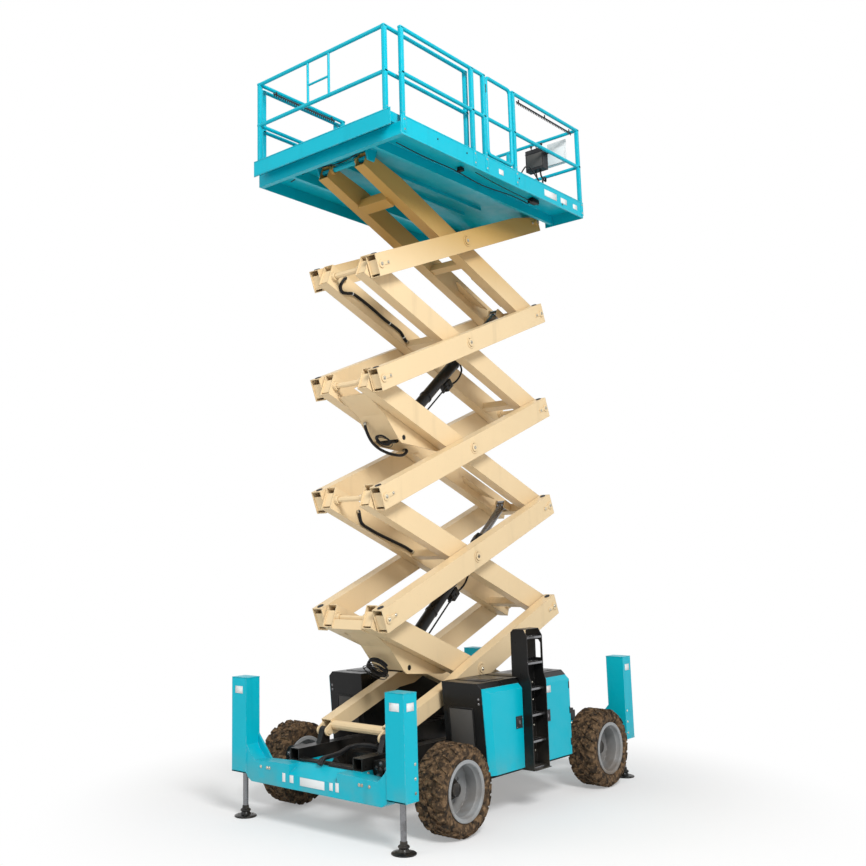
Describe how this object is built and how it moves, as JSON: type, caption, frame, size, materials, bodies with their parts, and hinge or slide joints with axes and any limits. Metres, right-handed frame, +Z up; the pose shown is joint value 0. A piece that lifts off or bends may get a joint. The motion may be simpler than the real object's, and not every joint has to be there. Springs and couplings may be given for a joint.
{
  "type": "rough-terrain scissor lift",
  "caption": "Rough-terrain scissor lift with a railed platform and roll-out deck on a crossed-arm stack, jacking outriggers, side service boxes and treaded tyres, stored partly raised",
  "frame": {"origin": "on the ground, at the centre of the footprint between the four feet", "axes": "+X forward, towards the end where the platform rolls out, +Y left, +Z up"},
  "size_m": [4.17, 2.364, 7.7088],
  "materials": {
    "arm_paint": "cream paint, semi-gloss, weathered",
    "turquoise_paint": "turquoise paint, semi-gloss",
    "black_paint": "black paint, satin",
    "rim_paint": "grey paint, dusty",
    "tyre_rubber": "rubber, muddy",
    "bright_steel": "ground rod",
    "hose_rubber": "black rubber hose",
    "dark_plastic": "moulded, matte",
    "engine_iron": "cast, painted dark"
  },
  "bodies": {
    "chassis": {"chassis_frame": "black_paint", "front_outrigger_beam": "turquoise_paint", "rear_outrigger_beam": "turquoise_paint", "left_service_box": "black_paint", "right_service_box": "black_paint", "access_ladder": "black_paint", "front_axle": "black_paint", "rear_axle": "black_paint", "engine_block": "engine_iron", "chassis_hoses": "hose_rubber"},
    "outer_stage_1": {"outer_frame_1": "arm_paint"},
    "inner_stage_1": {"inner_frame_1": "arm_paint", "coiled_hose": "hose_rubber"},
    "outer_stage_2": {"outer_frame_2": "arm_paint"},
    "inner_stage_2": {"inner_frame_2": "arm_paint", "lower_frame_hose": "hose_rubber"},
    "outer_stage_3": {"outer_frame_3": "arm_paint"},
    "inner_stage_3": {"inner_frame_3": "arm_paint", "middle_frame_hose": "hose_rubber"},
    "outer_stage_4": {"outer_frame_4": "arm_paint"},
    "inner_stage_4": {"inner_frame_4": "arm_paint", "upper_frame_hose": "hose_rubber"},
    "outer_stage_5": {"outer_frame_5": "arm_paint"},
    "inner_stage_5": {"inner_frame_5": "arm_paint"},
    "platform": {"platform_deck": "turquoise_paint", "platform_left_side": "turquoise_paint", "platform_right_side": "turquoise_paint", "platform_left_rear_rails": "turquoise_paint", "platform_left_front_rails": "turquoise_paint", "platform_right_rails": "turquoise_paint", "platform_rear_rails": "turquoise_paint", "control_box": "dark_plastic"},
    "lower_barrel": {"lower_lift_barrel": "black_paint"},
    "lower_rod": {"lower_lift_rod": "bright_steel"},
    "upper_barrel": {"upper_lift_barrel": "black_paint"},
    "upper_rod": {"upper_lift_rod": "bright_steel"},
    "front_left_steering": {"front_left_knuckle": "black_paint"},
    "front_left_wheel": {"front_left_tyre": "tyre_rubber", "front_left_rim": "rim_paint"},
    "rear_left_wheel": {"rear_left_tyre": "tyre_rubber", "rear_left_rim": "rim_paint"},
    "front_right_steering": {"front_right_knuckle": "black_paint"},
    "front_right_wheel": {"front_right_tyre": "tyre_rubber", "front_right_rim": "rim_paint"},
    "rear_right_wheel": {"rear_right_tyre": "tyre_rubber", "rear_right_rim": "rim_paint"},
    "front_left_jack": {"front_left_jack_leg": "bright_steel"},
    "front_right_jack": {"front_right_jack_leg": "bright_steel"},
    "rear_left_jack": {"rear_left_jack_leg": "bright_steel"},
    "rear_right_jack": {"rear_right_jack_leg": "bright_steel"},
    "left_front_door_body": {"left_front_door": "turquoise_paint"},
    "left_rear_door_body": {"left_rear_door": "turquoise_paint"},
    "right_front_door_body": {"right_front_door": "turquoise_paint"},
    "right_rear_door_body": {"right_rear_door": "turquoise_paint"},
    "gate": {"entry_gate": "turquoise_paint"},
    "extension": {"extension_deck": "turquoise_paint", "extension_left_rails": "turquoise_paint", "extension_right_rails": "turquoise_paint", "extension_front_rails": "turquoise_paint"}
  },
  "joints": [
    {"name": "lift", "type": "hinge", "parent": "chassis", "child": "outer_stage_1", "pos_m": [1.475, 0, 0.81], "axis": [0, 1, 0], "range_deg": [-16.35, 22.65]},
    {"name": "middle_pin_1", "type": "hinge", "parent": "outer_stage_1", "child": "inner_stage_1", "pos_m": [-0.02975, 0, 1.33055], "axis": [0, 1, 0], "range_deg": [-45.3, 32.7]},
    {"name": "front_pin_1", "type": "hinge", "parent": "inner_stage_1", "child": "outer_stage_2", "pos_m": [1.46976, 0, 1.91669], "axis": [0, 1, 0], "range_deg": [-32.7, 45.3]},
    {"name": "middle_pin_2", "type": "hinge", "parent": "outer_stage_2", "child": "inner_stage_2", "pos_m": [-0.02975, 0, 2.50284], "axis": [0, 1, 0], "range_deg": [-45.3, 32.7]},
    {"name": "front_pin_2", "type": "hinge", "parent": "inner_stage_2", "child": "outer_stage_3", "pos_m": [1.46976, 0, 3.08898], "axis": [0, 1, 0], "range_deg": [-32.7, 45.3]},
    {"name": "middle_pin_3", "type": "hinge", "parent": "outer_stage_3", "child": "inner_stage_3", "pos_m": [-0.02975, 0, 3.67512], "axis": [0, 1, 0], "range_deg": [-45.3, 32.7]},
    {"name": "front_pin_3", "type": "hinge", "parent": "inner_stage_3", "child": "outer_stage_4", "pos_m": [1.46976, 0, 4.26127], "axis": [0, 1, 0], "range_deg": [-32.7, 45.3]},
    {"name": "middle_pin_4", "type": "hinge", "parent": "outer_stage_4", "child": "inner_stage_4", "pos_m": [-0.02975, 0, 4.84741], "axis": [0, 1, 0], "range_deg": [-45.3, 32.7]},
    {"name": "front_pin_4", "type": "hinge", "parent": "inner_stage_4", "child": "outer_stage_5", "pos_m": [1.46976, 0, 5.43355], "axis": [0, 1, 0], "range_deg": [-32.7, 45.3]},
    {"name": "middle_pin_5", "type": "hinge", "parent": "outer_stage_5", "child": "inner_stage_5", "pos_m": [-0.02975, 0, 6.0197], "axis": [0, 1, 0], "range_deg": [-45.3, 32.7]},
    {"name": "platform_pin", "type": "hinge", "parent": "inner_stage_5", "child": "platform", "pos_m": [1.46976, 0, 6.60584], "axis": [0, 1, 0], "range_deg": [-16.35, 22.65]},
    {"name": "lower_barrel_pin", "type": "hinge", "parent": "inner_stage_1", "child": "lower_barrel", "pos_m": [0.83912, 0, 1.39854], "axis": [0, 1, 0], "range_deg": [-35.5, 49.2]},
    {"name": "lower_rod_slide", "type": "slide", "parent": "lower_barrel", "child": "lower_rod", "axis": [-0.771, 0, 0.6368], "range_m": [-0.531, 0.734]},
    {"name": "upper_barrel_pin", "type": "hinge", "parent": "inner_stage_3", "child": "upper_barrel", "pos_m": [0.83912, 0, 3.74311], "axis": [0, 1, 0], "range_deg": [-35.5, 49.2]},
    {"name": "upper_rod_slide", "type": "slide", "parent": "upper_barrel", "child": "upper_rod", "axis": [-0.771, 0, 0.6368], "range_m": [-0.531, 0.734]},
    {"name": "front_left_steer", "type": "hinge", "parent": "chassis", "child": "front_left_steering", "pos_m": [1.26, 0.905, 0.41], "axis": [0, 0, 1], "range_deg": [-30, 30]},
    {"name": "front_left_wheel_spin", "type": "hinge", "parent": "front_left_steering", "child": "front_left_wheel", "pos_m": [1.26, 1, 0.41], "axis": [0, 1, 0], "continuous": true},
    {"name": "rear_left_wheel_spin", "type": "hinge", "parent": "chassis", "child": "rear_left_wheel", "pos_m": [-1.4, 1, 0.41], "axis": [0, 1, 0], "continuous": true},
    {"name": "front_right_steer", "type": "hinge", "parent": "chassis", "child": "front_right_steering", "pos_m": [1.26, -0.905, 0.41], "axis": [0, 0, 1], "range_deg": [-30, 30]},
    {"name": "front_right_wheel_spin", "type": "hinge", "parent": "front_right_steering", "child": "front_right_wheel", "pos_m": [1.26, -1, 0.41], "axis": [0, 1, 0], "continuous": true},
    {"name": "rear_right_wheel_spin", "type": "hinge", "parent": "chassis", "child": "rear_right_wheel", "pos_m": [-1.4, -1, 0.41], "axis": [0, 1, 0], "continuous": true},
    {"name": "front_left_jack_slide", "type": "slide", "parent": "chassis", "child": "front_left_jack", "axis": [0, 0, -1], "range_m": [-0.25, 0.2]},
    {"name": "front_right_jack_slide", "type": "slide", "parent": "chassis", "child": "front_right_jack", "axis": [0, 0, -1], "range_m": [-0.25, 0.2]},
    {"name": "rear_left_jack_slide", "type": "slide", "parent": "chassis", "child": "rear_left_jack", "axis": [0, 0, -1], "range_m": [-0.25, 0.2]},
    {"name": "rear_right_jack_slide", "type": "slide", "parent": "chassis", "child": "rear_right_jack", "axis": [0, 0, -1], "range_m": [-0.25, 0.2]},
    {"name": "left_front_door_hinge", "type": "hinge", "parent": "chassis", "child": "left_front_door_body", "pos_m": [0.68544, 1.049, 0.402], "axis": [-0.0875, 0, -0.9962], "range_deg": [0, 95]},
    {"name": "left_rear_door_hinge", "type": "hinge", "parent": "chassis", "child": "left_rear_door_body", "pos_m": [-0.795, 1.049, 0.402], "axis": [0, 0, 1], "range_deg": [0, 95]},
    {"name": "right_front_door_hinge", "type": "hinge", "parent": "chassis", "child": "right_front_door_body", "pos_m": [0.68544, -1.049, 0.402], "axis": [0.0875, 0, 0.9962], "range_deg": [0, 95]},
    {"name": "right_rear_door_hinge", "type": "hinge", "parent": "chassis", "child": "right_rear_door_body", "pos_m": [-0.795, -1.049, 0.402], "axis": [0, 0, -1], "range_deg": [0, 95]},
    {"name": "gate_hinge", "type": "hinge", "parent": "platform", "child": "gate", "pos_m": [-0.196, 0.995, 6.60584], "axis": [0, 0, -1], "range_deg": [0, 90]},
    {"name": "extension_slide", "type": "slide", "parent": "platform", "child": "extension", "axis": [1, 0, 0], "range_m": [0, 1.2]}
  ],
  "couplings": [
    {"joint": "middle_pin_1", "follows": "lift", "ratio": -2},
    {"joint": "front_pin_1", "follows": "lift", "ratio": 2},
    {"joint": "middle_pin_2", "follows": "lift", "ratio": -2},
    {"joint": "front_pin_2", "follows": "lift", "ratio": 2},
    {"joint": "middle_pin_3", "follows": "lift", "ratio": -2},
    {"joint": "front_pin_3", "follows": "lift", "ratio": 2},
    {"joint": "middle_pin_4", "follows": "lift", "ratio": -2},
    {"joint": "front_pin_4", "follows": "lift", "ratio": 2},
    {"joint": "middle_pin_5", "follows": "lift", "ratio": -2},
    {"joint": "platform_pin", "follows": "lift", "ratio": 1},
    {"joint": "lower_barrel_pin", "follows": "lift", "ratio": 2.166},
    {"joint": "lower_rod_slide", "follows": "lift", "m_per_rad": 1.845},
    {"joint": "upper_barrel_pin", "follows": "lift", "ratio": 2.166},
    {"joint": "upper_rod_slide", "follows": "lift", "m_per_rad": 1.845},
    {"joint": "front_right_steer", "follows": "front_left_steer", "ratio": 1}
  ]
}
